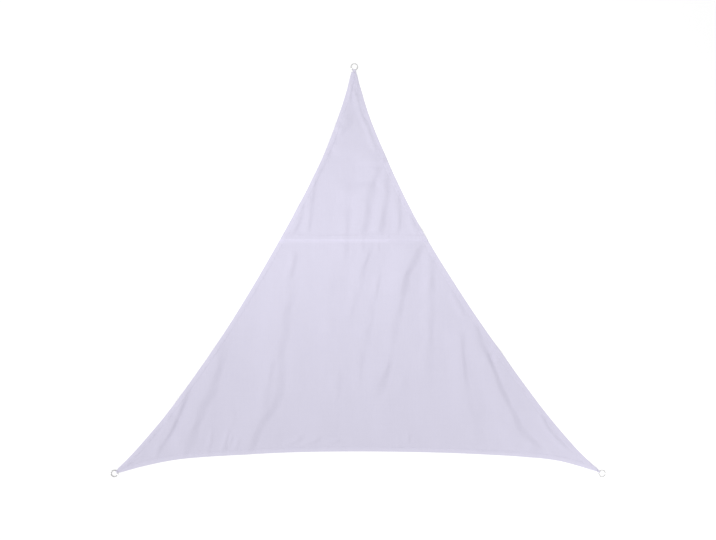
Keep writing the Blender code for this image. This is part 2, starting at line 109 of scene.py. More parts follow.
# Creases: the crest's height, the widths over which the cloth climbs on its left and falls
# on its right, and the line down the middle of the fall. Each point of the line gives x, y
# and the share of the height that the crease has there, which is none at its two ends.
Crease = namedtuple("Crease", "height rise fall line")
CREASES = (
    # the long ones, left to right across the lower panel
    Crease(0.017, 0.06, 0.028, (
        (-1.015, -0.685), (-1.04, -0.755, 0.4), (-1.073, -0.833, 1), (-1.105, -0.905, 0.5),
        (-1.138, -0.98, 1), (-1.186, -1.056, 0.5), (-1.214, -1.1, 0.5), (-1.262, -1.2),
    )),
    Crease(0.017, 0.11, 0.06, (
        (-0.775, -0.32), (-0.824, -0.48, 0.5), (-0.85, -0.6, 0.7), (-0.878, -0.69, 0.7),
        (-0.902, -0.765, 0.7), (-0.953, -0.84, 0.8), (-0.975, -0.91, 0.8), (-1.002, -0.985, 0.8),
        (-1.022, -1.045, 1), (-1.046, -1.1, 0.7), (-1.08, -1.175),
    )),
    Crease(0.016, 0.18, 0.06, (
        (-0.38, 0.18), (-0.39, 0.06, 0.35), (-0.412, -0.06, 0.4), (-0.406, -0.17, 0.5),
        (-0.434, -0.245, 0.6), (-0.44, -0.33, 0.6), (-0.442, -0.395, 0.6), (-0.466, -0.47, 0.6),
        (-0.474, -0.545, 0.6), (-0.468, -0.62, 0.6), (-0.472, -0.7, 0.5), (-0.482, -0.765, 0.6),
        (-0.52, -0.85, 0.7), (-0.574, -0.92, 0.9), (-0.61, -0.985, 1), (-0.64, -1.056, 0.9),
        (-0.668, -1.125, 0.35), (-0.688, -1.185),
    )),
    Crease(0.006, 0.04, 0.03, (
        (-0.374, 0.12), (-0.384, 0.08, 0.8), (-0.391, 0.045, 1), (-0.407, -0.02, 0.8), (-0.412, -0.08),
    )),
    Crease(0.005, 0.06, 0.034, (
        (-0.505, -0.51), (-0.524, -0.59, 1), (-0.543, -0.69, 0.6), (-0.561, -0.767, 0.9),
        (-0.566, -0.847, 0.5), (-0.594, -0.93),
    )),
    Crease(0.018, 0.15, 0.049, (
        (0.458, 0.25), (0.436, 0.212, 0.6), (0.418, 0.18, 0.65), (0.376, 0.125, 0.55),
        (0.342, 0.048, 0.85), (0.303, -0.023, 1), (0.29, -0.096, 1), (0.272, -0.17, 0.4),
        (0.262, -0.245, 0.5), (0.24, -0.32, 0.5), (0.226, -0.39, 0.4), (0.212, -0.47, 0.2),
        (0.204, -0.54, 0.35), (0.182, -0.613, 0.6), (0.154, -0.687, 0.7), (0.127, -0.76, 0.4),
        (0.09, -0.85),
    )),
    Crease(0.01, 0.055, 0.044, (
        (0.472, 0.095), (0.462, 0.051, 0.65), (0.455, -0.021, 0.55), (0.456, -0.1, 1), (0.45, -0.17, 0.5),
        (0.46, -0.245, 0.65), (0.452, -0.32, 0.65), (0.45, -0.39, 0.4), (0.45, -0.47, 0.45),
        (0.446, -0.54, 0.35), (0.446, -0.7, 0.2), (0.446, -0.8),
    )),
    Crease(0.01, 0.1, 0.04, (
        (0.64, -0.345), (0.643, -0.41, 0.8), (0.648, -0.515, 1), (0.657, -0.61, 0.8),
        (0.668, -0.687, 0.55), (0.686, -0.765, 0.35), (0.692, -0.84, 0.4), (0.725, -0.985),
    )),
    Crease(0.0155, 0.12, 0.046, (
        (0.703, -0.29), (0.73, -0.345, 0.45), (0.768, -0.465, 0.6), (0.805, -0.54, 0.8),
        (0.838, -0.613, 1), (0.866, -0.687, 0.75), (0.896, -0.765, 0.75), (0.932, -0.835, 0.5),
        (0.972, -0.91, 0.6), (1.003, -0.983, 0.7), (1.083, -1.056, 0.8), (1.14, -1.095),
    )),
    Crease(0.006, 0.035, 0.02, (
        (1.12, -0.85), (1.141, -0.909, 0.5), (1.178, -0.983, 1), (1.248, -1.056, 1), (1.282, -1.088, 0.6),
        (1.31, -1.115),
    )),
    Crease(0.004, 0.15, 0.06, ((0.845, -0.85), (0.868, -0.9, 1), (0.932, -1, 0.8), (0.965, -1.05))),
    Crease(0.005, 0.032, 0.026, (
        (0.575, -0.13), (0.602, -0.172, 1), (0.647, -0.243, 1), (0.672, -0.295),
    )),
    Crease(0.005, 0.035, 0.08, ((0.85, -0.4), (0.886, -0.478, 0.8), (0.915, -0.589, 1), (0.945, -0.69))),
    # the short ones between them, the first of which comes down from the upper panel
    Crease(0.009, 0.085, 0.036, (
        (-0.046, 0.425), (-0.054, 0.365, 0.7), (-0.06, 0.31, 0.8), (-0.068, 0.236, 1),
        (-0.07, 0.125, 0.6), (-0.076, 0.05, 0.3), (-0.078, -0.05),
    )),
    Crease(0.004, 0.03, 0.022, ((0.034, 0.24), (0.032, 0.19, 1), (0.029, 0.12, 0.6), (0.028, 0.08))),
    Crease(0.008, 0.07, 0.036, (
        (0.104, 0.2), (0.082, 0.14, 0.2), (0.064, 0.095, 0.75), (0.05, 0.051, 0.9), (0.03, -0.023, 0.8),
        (0.024, -0.09, 0.4), (0.02, -0.15),
    )),
    Crease(0.004, 0.05, 0.036, ((0.02, -0.09), (-0.009, -0.17, 1), (-0.034, -0.244, 1), (-0.05, -0.33))),
    Crease(0.003, 0.03, 0.02, ((0.131, 0.24), (0.127, 0.14, 1), (0.125, 0.08))),
    Crease(0.006, 0.045, 0.028, (
        (0.14, 0.03), (0.135, -0.023, 0.5), (0.123, -0.096, 1), (0.115, -0.15, 0.7), (0.105, -0.22),
    )),
    Crease(0.007, 0.08, 0.042, (
        (0.098, -0.17), (0.09, -0.244, 0.6), (0.084, -0.32, 0.45), (0.06, -0.39, 0.8),
        (0.056, -0.465, 0.3), (0.052, -0.52),
    )),
    Crease(0.005, 0.06, 0.032, (
        (0.034, -0.45), (0.024, -0.54, 0.8), (0.018, -0.613, 0.7), (0.018, -0.7, 0.5), (0.018, -0.83),
    )),
    Crease(0.005, 0.07, 0.034, (
        (-0.098, -0.6), (-0.113, -0.687, 1), (-0.12, -0.765, 0.6), (-0.16, -0.86),
    )),
    Crease(0.003, 0.06, 0.038, ((-0.148, -0.01), (-0.151, -0.09, 1), (-0.156, -0.2))),
    Crease(0.003, 0.07, 0.04, ((-0.146, -0.25), (-0.151, -0.32, 1), (-0.165, -0.48))),
    Crease(0.003, 0.06, 0.038, ((0.286, -0.62), (0.29, -0.687, 1), (0.277, -0.8))),
    Crease(0.004, 0.11, 0.08, ((0.695, -0.74), (0.735, -0.9, 0.6), (0.768, -1.04, 0.7), (0.785, -1.12))),
    Crease(0.004, 0.06, 0.04, (
        (-0.742, -0.82), (-0.757, -0.92, 1), (-0.766, -0.98, 0.4), (-0.772, -1.03),
    )),
    Crease(0.005, 0.03, 0.024, (
        (-1.13, -0.84), (-1.152, -0.909, 0.8), (-1.178, -0.97, 0.8), (-1.194, -1, 0.9), (-1.215, -1.05),
    )),
    Crease(0.004, 0.08, 0.06, ((-0.895, -0.55), (-0.93, -0.626, 0.8), (-0.968, -0.7, 1), (-0.99, -0.76))),
    Crease(0.004, 0.05, 0.04, (
        (-1.05, -0.96), (-1.076, -1.025, 0.9), (-1.094, -1.08, 0.8), (-1.112, -1.14),
    )),
    # drawn from the bottom hem
    Crease(0.007, 0.03, 0.024, (
        (-0.772, -0.95), (-0.793, -1.01, 0.6), (-0.806, -1.056, 1), (-0.818, -1.105, 0.6),
        (-0.832, -1.16),
    )),
    Crease(0.005, 0.028, 0.022, (
        (-0.885, -0.96), (-0.897, -1.02, 0.7), (-0.901, -1.056, 1), (-0.915, -1.105, 0.5), (-0.93, -1.16),
    )),
    Crease(0.005, 0.024, 0.022, (
        (-0.712, -1.01), (-0.727, -1.056, 1), (-0.748, -1.1, 0.5), (-0.77, -1.15),
    )),
    Crease(0.004, 0.022, 0.018, (
        (-0.76, -0.99), (-0.772, -1.035, 1), (-0.785, -1.075, 0.6), (-0.795, -1.1),
    )),
    Crease(0.006, 0.026, 0.024, (
        (-0.325, -1.02), (-0.37, -1.052, 1), (-0.425, -1.074, 0.6), (-0.47, -1.09),
    )),
    Crease(0.006, 0.026, 0.024, (
        (-0.215, -1.022), (-0.255, -1.052, 1), (-0.315, -1.074, 0.7), (-0.365, -1.092),
    )),
    Crease(0.005, 0.024, 0.02, (
        (-0.095, -1.035), (-0.13, -1.056, 1), (-0.175, -1.072, 0.6), (-0.215, -1.088),
    )),
    Crease(0.003, 0.03, 0.02, ((0.324, -0.985), (0.318, -1.035, 1), (0.31, -1.09))),
)

# How unevenly a crease runs: its mean height and how far it swells, widens and wanders, with
# the length of each kind of wave
CREASE_MEAN, SWELL, SWELL_LENGTH = 0.95, 0.30, 0.11
WIDEN, WIDEN_LENGTH = 0.6, 0.12
WANDER, WANDER_LENGTH = 0.004, 0.10

# How loosely the cloth lies apart from its creases: the height of its waves, their two sizes,
# and how far inside the edge they reach full height
SLACK, SLACK_SIZE, SLACK_INSIDE = 0.0035, (0.17, 0.55), 0.10
RUMPLE, RUMPLE_SIZE, RUMPLE_INSIDE = 0.0009, (0.060, 0.150), 0.05
PUCKER, PUCKER_SIZE, PUCKER_FADE = 0.0030, (0.023, 0.036), 0.045  # drawn in by the hem's thread
PUCKER_MEAN, PUCKER_SWELL, PUCKER_LENGTH = 0.55, 0.9, 0.19  # it draws harder in some places
PLEAT, PLEAT_SIZE, PLEAT_INSIDE = 0.0024, (0.065, 0.16), 0.02  # gathered in the tips
PLEAT_START, PLEAT_REACH = 0.06, 0.55  # distance from a ring's centre
FAN_START = 0.04  # keeps the pleats apart close to the ring

CELL = 0.0070  # size of the net's triangles where the cloth is creased
FINEST = 0.20  # closer to a ring than this they are half as large
FINE = 0.45  # closer to a ring than this they are nowhere larger
CLOTH_COLOR = (0.640, 0.618, 0.742)


def ease(x):
    """0 below 0, 1 above 1, and a soft step between."""
    x = np.clip(x, 0.0, 1.0)
    return x * x * (3.0 - 2.0 * x)


def spaced(path, spacing):
    """The path again, with even steps of about this length."""
    run = np.concatenate([[0], np.cumsum(np.linalg.norm(np.diff(path, axis=0), axis=1))])
    at = np.linspace(0, run[-1], max(2, round(run[-1] / spacing) + 1))
    return np.stack([np.interp(at, run, path[:, k]) for k in range(path.shape[1])], axis=1)


def smooth(points, spacing):
    """Evenly spaced points on a soft curve through the given ones."""
    p = np.array(points, float)
    p = np.vstack([2 * p[0] - p[1], p, 2 * p[-1] - p[-2]])
    steps = 12  # from one given point to the next
    t = np.linspace(0, 1, steps, endpoint=False)[:, None]
    parts = [
        b + (c - a) * t / 2 + (2 * a - 5 * b + 4 * c - d) * t**2 / 2
        + (3 * b - a - 3 * c + d) * t**3 / 2
        for a, b, c, d in zip(p[:-3], p[1:-2], p[2:-1], p[3:])
    ]
    return spaced(np.vstack([*parts, p[-2:-1]]), spacing)


def measure(path, points):
    """For each point: how far along the path, how far to its left, and the nearest point."""
    start, step = path[:-1], np.diff(path, axis=0)
    length = np.linalg.norm(step, axis=1)
    run = np.concatenate([[0], np.cumsum(length)])
    found, batch = [], 2000
    for some in np.array_split(points, len(points) // batch + 1):
        offset = some[:, None] - start
        share = np.clip((offset * step).sum(2) / length**2, 0.0, 1.0)
        offset = offset - share[..., None] * step
        nearest = (offset**2).sum(2).argmin(axis=1)
        rows = np.arange(len(some))
        along = run[nearest] + share[rows, nearest] * length[nearest]
        off, way = offset[rows, nearest], step[nearest]
        side = np.sign(way[:, 0] * off[:, 1] - way[:, 1] * off[:, 0])
        found.append(np.column_stack([along, side * np.linalg.norm(off, axis=1), some - off]))
    found = np.vstack(found)
    return found[:, 0], found[:, 1], found[:, 2:]


def beside(path, distance):
    """The path moved to its left by a distance."""
    way = np.gradient(path, axis=0)
    way /= np.linalg.norm(way, axis=1)[:, None]
    return path + distance * np.stack([-way[:, 1], way[:, 0]], axis=1)


def cut(path, height, above):
    """The part of a path that lies above or below a height, ending on it."""
    side = path[:, 1] > height if above else path[:, 1] < height
    change = np.flatnonzero(side[1:] != side[:-1])[0]
    a, b = path[change], path[change + 1]
    crossing = a + (b - a) * (height - a[1]) / (b[1] - a[1])
    kept = path[side]
    return np.vstack([crossing, kept]) if side[-1] else np.vstack([kept, crossing])


def corner_frame(corner):
    """The ring's centre, the direction into the cloth and the direction to its left."""
    turn = math.radians(corner.heading_deg)
    into = np.array([math.cos(turn), math.sin(turn)])
    return np.array([corner.x, corner.y]), into, np.array([-into[1], into[0]])


def at_corner(corner, along, off):
    """The point that lies this far along the way into a corner and to its left."""
    ring, into, left = corner_frame(corner)
    return ring + along * into + off * left


def in_corner(corner, points):
    """How far each point lies along the way into a corner and to its left."""
    ring, into, left = corner_frame(corner)
    return (points - ring) @ into, (points - ring) @ left


def tip_point(corner, side):
    """An end of the cloth's tip: side is 1 on the left of the way in, -1 on its right."""
    return at_corner(corner, TIP, corner.tip_shift + side * corner.tip_width / 2)


def edge(first, last, hollow):
    """One edge of the sail, with the cloth on its left."""
    start = np.array([first.x, first.y])
    way = np.array([last.x, last.y]) - start
    inward = np.array([-way[1], way[0]]) / np.linalg.norm(way)
    middle = [start + share * way + depth * inward for share, depth in hollow]
    return smooth([tip_point(first, -1), *middle, tip_point(last, 1)], CELL)


LEFT_EDGE = edge(TOP, LEFT, LEFT_HOLLOW)
BOTTOM_EDGE = edge(LEFT, RIGHT, BOTTOM_HOLLOW)
RIGHT_EDGE = edge(RIGHT, TOP, RIGHT_HOLLOW)
EDGES = (LEFT_EDGE, BOTTOM_EDGE, RIGHT_EDGE)


def from_ring(points):
    """How far each point is from the nearest ring's centre."""
    rings = np.array([[corner.x, corner.y] for corner in CORNERS])
    return np.linalg.norm(points[:, None] - rings, axis=2).min(axis=1)


def thinned(path):
    """A fine path with fewer points, which stay close together near the rings."""
    every_near, every_far = 2, 6
    every = np.where(from_ring(path) < NEAR_RING, every_near, every_far)
    kept = np.arange(len(path)) % every == 0
    kept[-1] = True
    return path[kept]


# Places on the flat sail: their points, how far inside the nearest edge and the next one
# each lies, how far along the nearest edge, and which of EDGES that is
Spots = namedtuple("Spots", "points inside next_inside along edge")
APART = 10.0  # added to the distance along for each edge passed, which keeps their waves apart
ROUGH_EDGES = [thinned(line) for line in EDGES]


def from_edges(points):
    """For each edge: how far along it the points are, how far inside, and the nearest points."""
    return [np.array(found) for found in zip(*(measure(line, points) for line in ROUGH_EDGES))]


def locate(points):
    """The points' places on the sail."""
    along, inside, _ = from_edges(points)
    nearest, rows = inside.argmin(axis=0), np.arange(len(points))
    along = along[nearest, rows] + APART * nearest
    return Spots(points, inside[nearest, rows], np.sort(inside, axis=0)[1], along, nearest)


def mitre(corner):
    """Down the middle of a tip, where the hems of its two edges meet."""
    start, half_width, places = TIP + 0.001, 0.02, 161  # of the strip that is searched
    along = np.arange(start, NEAR_RING, CELL / 2)
    across = np.linspace(-half_width, half_width, places)
    rows = at_corner(corner, along[:, None, None], across[:, None])
    _, inside, _ = from_edges(rows.reshape(-1, 2))
    inside = np.sort(inside, axis=0).reshape(3, len(along), len(across))
    middle = (inside[1] - inside[0]).argmin(axis=1)
    steps = np.arange(len(along))
    line = rows[steps, middle][inside[0, steps, middle] < PAST_HEM]
    return smooth([*line[:-1:4], line[-1]], CELL / 2)


MITRES = [mitre(corner) for corner in CORNERS]


def mitre_end(line):
    """Close points where the inner edges of two hems meet, at the end of a mitre."""
    meeting = line[locate(line).inside < HEM_WIDTH][-1]
    half_width = 0.012
    steps = np.arange(-half_width, half_width, HEM_STEP / 2)
    patch = meeting + np.array(np.meshgrid(steps, steps)).reshape(2, -1).T
    spots = locate(patch)
    middle = spots.next_inside - spots.inside < 4 * MITRE_HALF
    return patch[middle & (spots.inside > ROWS[1] + GROOVE_HALF)]


def waves(points, size_x, size_y, layer):
    """Soft random waves of about these sizes, from -1 to 1."""
    return np.array([noise.noise((x / size_x, y / size_y, layer)) for x, y in points])


def near_crease(crease, points):
    """Which points a crease may lift, how far along its line they are, and to its right."""
    line = np.array([(*point, 0)[:3] for point in crease.line])
    path = smooth(line[:, :2], spacing=0.030)
    reach = crease.rise + crease.fall
    near = ((points > path.min(axis=0) - reach) & (points < path.max(axis=0) + reach)).all(1)
    # A line runs downwards, so the left of its way is the right side of the sail.
    along, right, _ = measure(path, points[near])
    share = np.interp(along, measure(path, line[:, :2])[0], line[:, 2])
    return near, along, right, share


def crease_height(crease, points):
    """A crease climbs slowly to its crest and falls steeply on its right.

    It swells and slackens, widens and wanders a little on its way.
    """
    near, along, right, share = near_crease(crease, points)

    def uneven(length, layer):
        run = np.column_stack([along, 0 * along])
        return waves(run, length, 1.0, layer=crease.line[0][0] * layer)

    swell = CREASE_MEAN + SWELL * uneven(SWELL_LENGTH, 9)
    fall = crease.fall * (1.0 + WIDEN * uneven(WIDEN_LENGTH, 5))
    right = right + WANDER * uneven(WANDER_LENGTH, 7)
    climb = ease(1 + (right + fall / 2) / crease.rise)
    height = np.zeros(len(points))
    height[near] = crease.height * ease(share) * swell * climb * ease(0.5 - right / fall)
    return height


def pad_height(corner, points):
    """The rise of the cloth over the webbing sewn under its tip."""
    along, off = in_corner(corner, points)
    past_side = ease((np.abs(off) - PAD_HALF) / PAD_SLOPE)
    past_end = ease((along - PAD_END) / PAD_FADE)
    return PAD_RISE * (1 - past_side) * (1 - past_end)


def gathers(points):
    """Small pleats that fan out from each ring."""
    total = 0
    for number, corner in enumerate(CORNERS):
        along, off = in_corner(corner, points)
        fan = np.column_stack([off / (along.clip(0) + FAN_START), along])
        strength = ease(1 - (along - PLEAT_START) / PLEAT_REACH) * (along > 0)
        total = total + strength * (0.5 + waves(fan, *PLEAT_SIZE, layer=2.9 + number)).clip(0)
    return total


def underside(spots):
    """The height of the cloth's underside above the ground."""
    points, inside = spots.points, spots.inside
    seam_middle, seam_half = (SEAM_LOW + SEAM_HIGH) / 2, (SEAM_HIGH - SEAM_LOW) / 2
    from_seam = np.abs(points[:, 1] - seam_middle) - seam_half
    calm = SEAM_SHARE + (1 - SEAM_SHARE) * ease(from_seam / SEAM_CALM)
    creases = sum(crease_height(crease, points) for crease in CREASES)
    pads = np.max([pad_height(corner, points) for corner in CORNERS], axis=0)
    slack = ease(0.5 + waves(points, *SLACK_SIZE, layer=3.7)) * ease(inside / SLACK_INSIDE)
    rumple = ease(0.5 + waves(points, *RUMPLE_SIZE, layer=8.1)) * ease(inside / RUMPLE_INSIDE)
    run = np.column_stack([spots.along, inside])
    pucker = (0.5 + waves(run, *PUCKER_SIZE, layer=1.3)).clip(0)
    drawn = ease(inside / HEM_WIDTH) * (1 - ease((inside - HEM_WIDTH) / PUCKER_FADE))
    drawn *= PUCKER_MEAN + PUCKER_SWELL * waves(run, PUCKER_LENGTH, 1.0, layer=5.2)
    loose = SLACK * slack + RUMPLE * rumple + PUCKER * drawn.clip(0) * pucker
    loose = loose + PLEAT * gathers(points) * ease(inside / PLEAT_INSIDE)
    return np.maximum(creases * calm, pads) + loose * calm


def hemmed(inside):
    """1 in the hem and 0 past it."""
    return 1 - ease((inside - HEM_WIDTH + HEM_STEP) / HEM_STEP)


def rounded(share):
    """A fold's top, from 0 at its edge to 1."""
    return np.sqrt(1 - (1 - np.clip(share, 0, 1)) ** 2)


def grooves(distance, rows):
    """1 under the thread of each row of stitches and 0 beside it."""
    return sum(np.clip(1 - np.abs(distance - row) / GROOVE_HALF, 0, 1) for row in rows)


def thickness(spots):
    """The cloth's thickness: the hem's layers, its rounded fold and its sewn grooves."""
    inside = spots.inside
    hem = hemmed(inside)
    fold = FOLD_SHARE + (1 - FOLD_SHARE) * rounded(inside / FOLD_ROUND)
    mitred = hem * np.clip(1 - (spots.next_inside - inside) / (2 * MITRE_HALF), 0, 1)
    drawn = GROOVE * np.maximum(grooves(inside, ROWS), mitred)
    return CLOTH + (HEM - CLOTH) * hem * fold - drawn


# The net has a row of points at each of these distances inside the edge.
HEM_LINES = (
    0.0010, FOLD_ROUND, 0.0085, 0.0135,
    *(row + side * GROOVE_HALF for row in ROWS for side in (-1, 0, 1)),
    HEM_WIDTH - HEM_STEP, HEM_WIDTH, PAST_HEM,
)


def lattice(spacing):
    """A field of points over the whole sail, every other row shifted by half a step."""
    rows = []
    for row, y in enumerate(np.arange(-HEIGHT / 2, HEIGHT / 2, spacing * math.sqrt(0.75))):
        x = np.arange(-BASE / 2, BASE / 2, spacing) + (row % 2) * spacing / 2
        rows.append(np.stack([x, np.full_like(x, y)], axis=1))
    return np.vstack(rows)


def beside_fall(crease, points):
    """True on a crease's crest and its steep side."""
    near, _, right, share = near_crease(crease, points)
    found = np.zeros(len(points), bool)
    reach = 1.1 * crease.fall
    found[near] = (share > 0) & (np.abs(right + crease.fall / 4) < reach)
    return found


def wanted_spacing(points):
    """Finest in the gathered tips, fine on creases, and coarse where the cloth is flat."""
    creased = np.any([beside_fall(crease, points) for crease in CREASES], axis=0)
    ring = from_ring(points)
    return np.where(ring < FINEST, CELL / 2, np.where(creased | (ring < FINE), CELL, 2 * CELL))


def net(outline, lines, keep):
    """A flat net of triangles inside a closed outline, finest along creases and hems."""
    off_outline, off_hem = 0.0005, 0.6  # in metres, and in steps of the field
    parts = [outline]
    for inset in HEM_LINES:
        for line in EDGES:
            row = beside(line, inset)
            spots = locate(row)
            clear = spots.next_inside - spots.inside > 3 * MITRE_HALF
            parts.append(row[keep(row) & clear & (spots.inside > inset - STRAY)])
    for line in MITRES:
        valley = np.vstack([beside(line, side * MITRE_HALF) for side in (-1, 0, 1)])
        parts.append(valley[keep(valley) & (locate(valley).inside > FOLD_ROUND)])
        end = mitre_end(line)
        parts.append(end[keep(end)])
    parts += [line[locate(line).inside > off_outline] for line in lines]
    for spacing in (CELL / 2, CELL, 2 * CELL):
        field = lattice(spacing)
        field = field[keep(field)]
        field = field[wanted_spacing(field) == spacing]
        parts.append(field[locate(field).inside > PAST_HEM + off_hem * spacing])
    points = [Vector(p) for p in np.vstack(parts)]
    loop = list(range(len(outline)))
    sides = [(i, (i + 1) % len(outline)) for i in loop]
    inside_only, tolerance = 1, 1e-6
    flat, _, faces, *_ = delaunay_2d_cdt(points, sides, [loop], inside_only, tolerance)
    return np.array([tuple(v) for v in flat]), faces


def in_scene(name, data):
    """Makes an object of a mesh, a lamp or a camera."""
    obj = bpy.data.objects.new(name, data)
    bpy.context.scene.collection.objects.link(obj)
    return obj


def add_piece(name, mesh, material, slot, *nodes):
    """Puts a finished mesh into the scene as a piece of the sail."""
    mesh.materials.clear()
    mesh.materials.append(material)
    mesh.shade_smooth()
    obj = in_scene(name, mesh)
    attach(obj, "root")
    if nodes:
        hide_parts(*nodes)
    return obj


def add_cloth(name, outline, lines, keep, lift, relief, layers, material, node):
    """A panel: its net, lifted to its creases, with the weave's own directions as a UV map.

    In the hem the weave is mirrored at the edge, because the cloth is folded over there.
    """
    flat, faces = net(outline, lines, keep)
    spots = locate(flat)
    height = underside(spots) + lift(flat)
    mesh = bpy.data.meshes.new(name)
    mesh.from_pydata(np.column_stack([flat, height]), [], faces)
    if sum(face.normal.z for face in mesh.polygons) < 0:
        mesh.flip_normals()

    corners = np.zeros(len(mesh.loops), int)
    mesh.loops.foreach_get("vertex_index", corners)
    _, inside, feet = from_edges(flat)
    inside = inside[:, corners].reshape(3, -1, 3).mean(axis=2)
    nearest = np.repeat(inside.argmin(axis=0), 3)
    folded = np.repeat(inside.min(axis=0) < HEM_WIDTH - HEM_STEP / 2, 3)[:, None]
    weave = np.where(folded, 2 * feet[nearest, corners] - flat[corners], flat[corners])
    mesh.uv_layers.new(name="weave").data.foreach_set("uv", weave.astype(np.float32).ravel())
    count = mesh.attributes.new("layers", "FLOAT", "POINT")
    count.data.foreach_set("value", layers(spots).astype(np.float32))

    obj = add_piece(name, mesh, material, "sail_cloth", node)
    most, least_share = 2 * HEM, 0.01
    share = ((thickness(spots) + relief(spots)) / most).clip(least_share, 1.0)
    group = obj.vertex_groups.new(name="thickness")
    for index, weight in enumerate(share):
        group.add([index], float(weight), "REPLACE")
    solid = obj.modifiers.new("thickness", "SOLIDIFY")
    solid.thickness = most
    solid.offset = 1.0
    solid.vertex_group = "thickness"
    return obj


def row_across(y, spacing=CELL):
    """A line of points straight across the sail at a height."""
    ends = np.array([cut(LEFT_EDGE, y, True)[-1], cut(RIGHT_EDGE, y, True)[0]])
    return spaced(ends, spacing)


class Field:
    """A value that changes over a surface. Operators on it add Math nodes."""

    def __init__(self, look, socket):
        self.look = look
        self.socket = socket

    def math(self, operation, *values):
        node = self.look.node("Math", {"operation": operation}, dict(enumerate(values)))
        return Field(self.look, node.outputs[0])

    def __add__(self, other):
        return self.math("ADD", self, other)

    __radd__ = __add__

    def __sub__(self, other):
        return self.math("SUBTRACT", self, other)

    def __rsub__(self, other):
        return self.math("SUBTRACT", other, self)

    def __mul__(self, other):
        return self.math("MULTIPLY", self, other)

    __rmul__ = __mul__

    def sine(self):
        return self.math("SINE", self)

    def size(self):
        return self.math("ABSOLUTE", self)


class Look:
    """A material, with a method that adds any node to it."""

    def __init__(self, name, color, **constants):
        self.material = bpy.data.materials.new(name)
        self.material.use_nodes = True
        self.tree = self.material.node_tree
        self.shader = self.tree.nodes["Principled BSDF"]
        self.color = color
        self.shader.inputs["Base Color"].default_value = (*color, 1.0)
        for socket, value in constants.items():
            self.shader.inputs[socket.replace("_", " ")].default_value = value

    def node(self, kind, settings, sockets):
        made = self.tree.nodes.new("ShaderNode" + kind)
        for name, value in settings.items():
            setattr(made, name, value)
        for name, value in sockets.items():
            self.plug(made.inputs[name], value)
        return made

    def plug(self, socket, value):
        if isinstance(value, Field):
            value = value.socket
        if isinstance(value, bpy.types.NodeSocket):
            self.tree.links.new(value, socket)
        else:
            socket.default_value = value

    def place(self, uv_map=None):
        """Object coordinates in metres, or those of a UV map."""
        if uv_map is None:
            return self.node("TexCoord", {}, {}).outputs["Object"]
        return self.node("UVMap", {"uv_map": uv_map}, {}).outputs["UV"]

    def parts(self, vector):
        """The X, Y and Z of a place."""
        return [Field(self, out) for out in self.node("SeparateXYZ", {}, {0: vector}).outputs]

    def cloud(self, place, sizes, detail=3.0, roughness=0.5):
        """Noise from about 0 to 1, with grains of these sizes in metres."""
        scale = tuple(1.0 / size for size in sizes)
        grown = self.node("VectorMath", {"operation": "MULTIPLY"}, {0: place, 1: scale})
        sockets = {"Vector": grown.outputs[0], "Scale": 1.0, "Detail": detail, "Roughness": roughness}
        return Field(self, self.node("TexNoise", {}, sockets).outputs[0])

    def attribute(self, name):
        return Field(self, self.node("Attribute", {"attribute_name": name}, {}).outputs["Fac"])

    def tint(self, shade):
        """The look's colour, times a shade, as its base colour."""
        grey = self.node("CombineXYZ", {}, {0: shade, 1: shade, 2: shade}).outputs[0]
        tinted = self.node("VectorMath", {"operation": "MULTIPLY"}, {0: grey, 1: self.color})
        self.plug(self.shader.inputs["Base Color"], tinted.outputs[0])

    def relief(self, height_mm):
        """Raises the surface by a height in millimetres."""
        bump = self.node("Bump", {}, {"Height": height_mm, "Distance": 0.001, "Strength": 1.0})
        self.plug(self.shader.inputs["Normal"], bump.outputs[0])


def cloth_look():
    """Plain-woven polyester: single threads, thicker ones here and there, and a faint sheen."""
    look = Look(
        "woven_polyester", CLOTH_COLOR, Roughness=0.82, Sheen_Weight=0.12, Sheen_Roughness=0.45,
        Specular_IOR_Level=0.25,
    )
    place = look.place("weave")
    x, y, _ = look.parts(place)
    warp, weft = 0.00090, 0.00080  # from thread to thread
    across = (x * (math.pi / warp)).sine()
    along = (y * (math.pi / weft)).sine()
    over = 0.5 + 0.5 * (across * along)
    weave = across.size() * over + along.size() * (1 - over)
    slub_up = look.cloud(place, (0.0030, 0.250, 1.0))
    slub_across = look.cloud(place, (0.300, 0.0026, 1.0))
    slubs = slub_up + slub_across - 1.0
    mottle = look.cloud(place, (0.160, 0.220, 1.0)) - 0.5
    crush = look.cloud(place, (0.022, 0.040, 1.0), roughness=0.55) - 0.5
    # This attribute holds the paleness of the hems' and lap's extra layers, and also painted highlights
    # and painted shade along hems and seam.
    layers = look.attribute("layers")
    look.tint(0.978 + 0.022 * weave + 0.045 * slubs + 0.030 * mottle + 0.028 * layers)
    look.plug(look.shader.inputs["Roughness"], 0.78 + 0.10 * slubs + 0.05 * weave)
    look.relief(0.16 * weave + 0.20 * slubs + 0.55 * crush)
    return look.material


POLYESTER = cloth_look()

OPEN_END = SEAM_LOW - 0.003  # above this the lower panel lies under the upper one
THIN_FROM, THIN_OVER = 0.016, 0.012  # its hem thins out from this far below the lap
UNDER_LINES = (0.003, 0.008, 0.014, 0.020)  # the net's rows of points this far below the lap
UNDER_CLEAR = 0.002  # its other points stay this far below the lap

lower_outline = np.vstack([
    row_across(SEAM_HIGH)[:1],
    cut(LEFT_EDGE, OPEN_END, False),
    BOTTOM_EDGE,
    cut(RIGHT_EDGE, OPEN_END, False),
    row_across(SEAM_HIGH)[:0:-1],
])


def lower_thin(spots):
    """The hem's layers end at the lap, where the single cloth goes on under it."""
    past = ease((spots.points[:, 1] - SEAM_LOW + THIN_FROM) / THIN_OVER)
    return (CLOTH - thickness(spots)) * past


